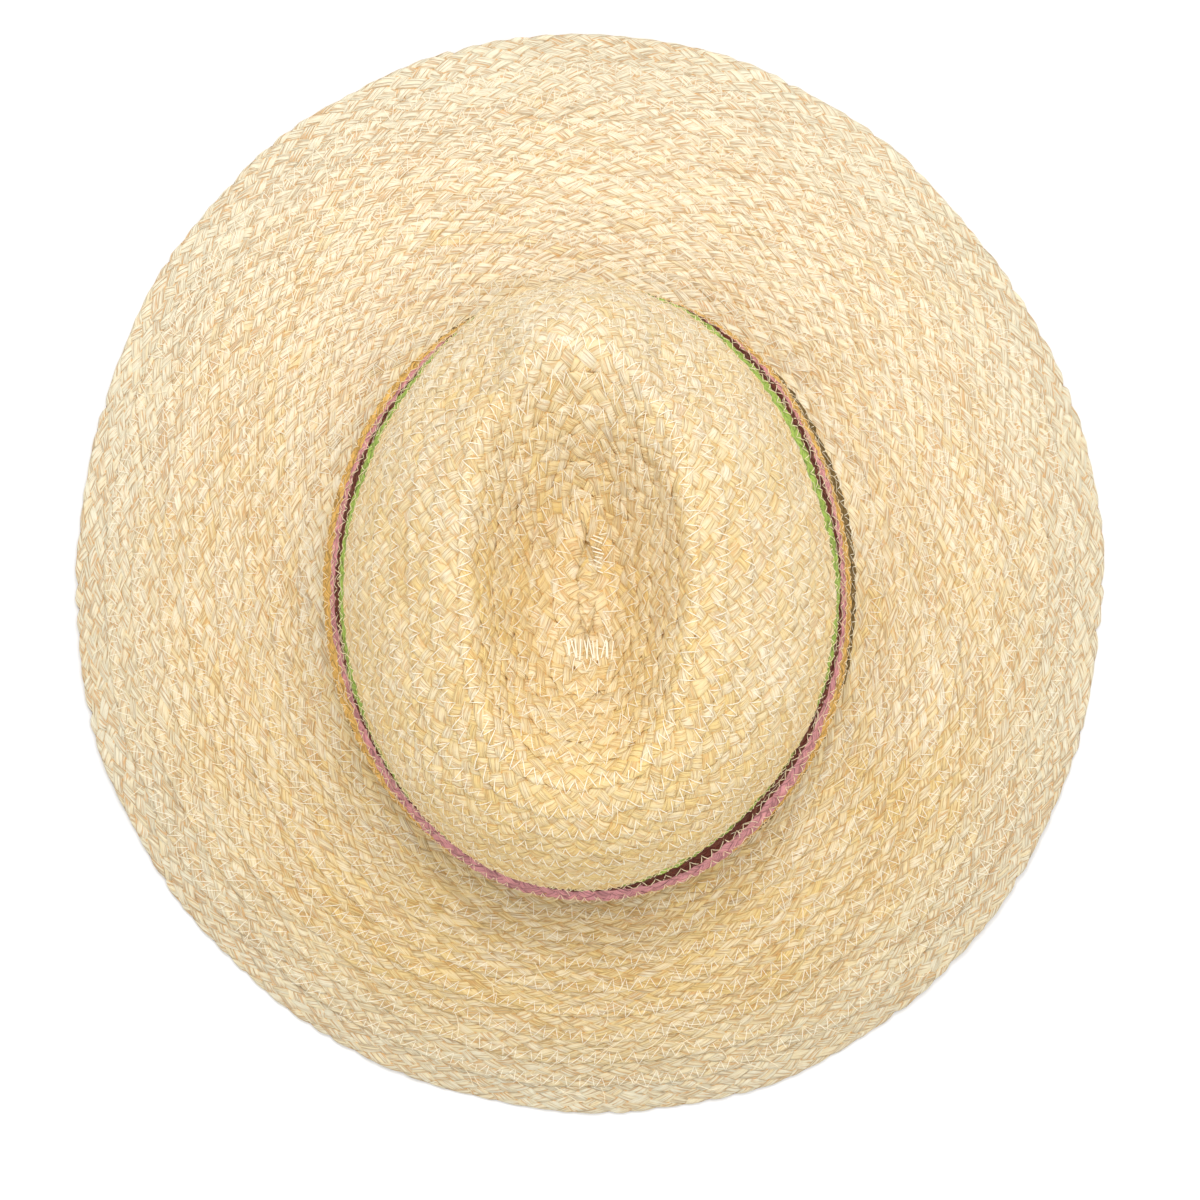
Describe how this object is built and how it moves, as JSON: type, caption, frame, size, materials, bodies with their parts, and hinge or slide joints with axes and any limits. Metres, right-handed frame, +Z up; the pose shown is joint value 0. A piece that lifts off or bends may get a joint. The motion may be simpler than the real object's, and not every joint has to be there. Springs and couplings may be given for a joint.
{
  "type": "braided straw fedora",
  "caption": "Wide-brimmed straw fedora sewn from flat plait, with a teardrop crown, front pinches and dyed turns of plait round the crown's foot.",
  "frame": {"origin": "under the middle of the brim, on the surface that the brim's edge rests on", "axes": "+Z up through the crown, +Y towards the back of the hat, so the pinched front faces -Y, +X towards the wearer's left"},
  "size_m": [0.3386, 0.3558, 0.1245],
  "materials": {
    "straw": "matte",
    "dyed_green": "matte",
    "dyed_maroon": "matte",
    "dyed_pink": "matte",
    "dyed_mustard": "matte",
    "dyed_olive": "matte"
  },
  "bodies": {
    "root": {"crown_tip": "straw", "crown_shoulder": "straw", "crown_wall": "straw", "row_green": "dyed_green", "row_maroon": "dyed_maroon", "row_pink": "dyed_pink", "row_mustard": "dyed_mustard", "row_olive": "dyed_olive", "brim": "straw"}
  },
  "joints": []
}
